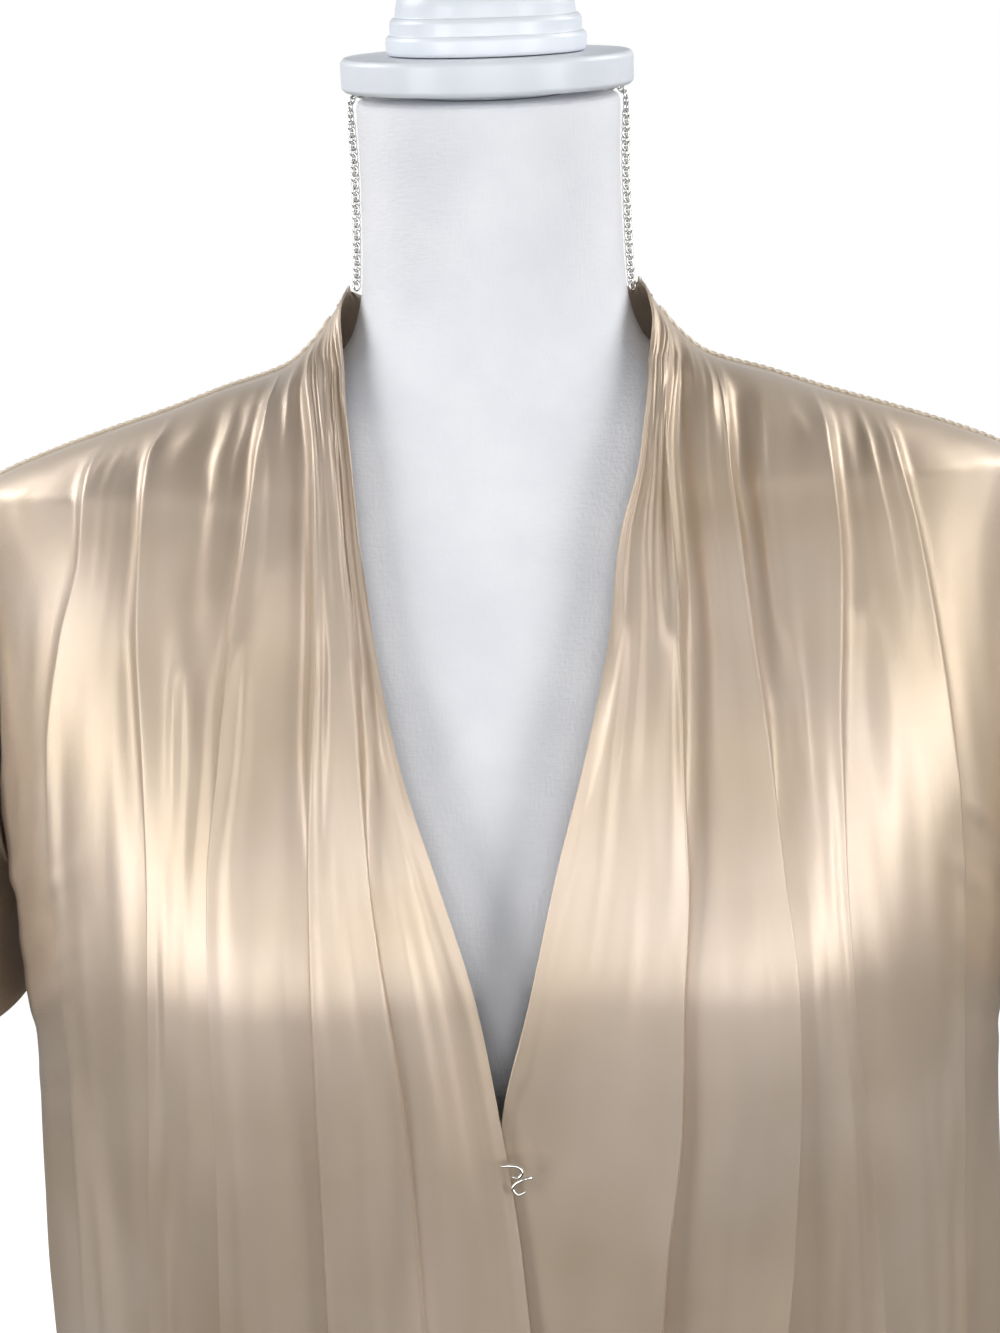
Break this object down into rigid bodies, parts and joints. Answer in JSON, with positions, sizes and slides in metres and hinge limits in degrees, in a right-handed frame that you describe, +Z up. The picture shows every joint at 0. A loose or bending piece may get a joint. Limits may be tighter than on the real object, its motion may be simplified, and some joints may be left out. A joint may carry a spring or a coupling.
{
  "type": "satin bodysuit on dress form",
  "caption": "Short-sleeved wrap-front satin bodysuit with pleated shoulders, worn by a limbless dress form with a turned neck cap and a round counter stand.",
  "frame": {"origin": "centre of the round base's underside, on the surface that the stand rests on", "axes": "+Z up; the garment's front faces -Y; +X is towards the wearer's left"},
  "size_m": [0.5044, 0.3, 1.0507],
  "materials": {
    "satin": "champagne satin with a soft sheen",
    "knit": "fine matt stretch knit in the satin's colour",
    "linen": "white linen weave stretched over the form",
    "painted_wood": "turned wood in white eggshell paint",
    "painted_steel": "white powder coat",
    "silver": "bright silver-coloured metal"
  },
  "bodies": {
    "root": {"front_right": "satin", "front_left": "satin", "back": "satin", "sleeve_right": "satin", "sleeve_left": "satin", "brief_front": "knit", "brief_back": "knit", "snap_cap_1": "silver", "snap_cap_2": "silver", "snap_cap_3": "silver", "snap_socket_1": "silver", "snap_socket_2": "silver", "snap_socket_3": "silver", "hook": "silver", "eye": "silver", "neck_chain": "silver", "form_torso": "linen", "neck_cap_disc": "painted_wood", "neck_cap_knob": "painted_wood", "form_flange": "painted_wood", "stand_pole": "painted_steel", "stand_base": "painted_steel"}
  },
  "joints": []
}
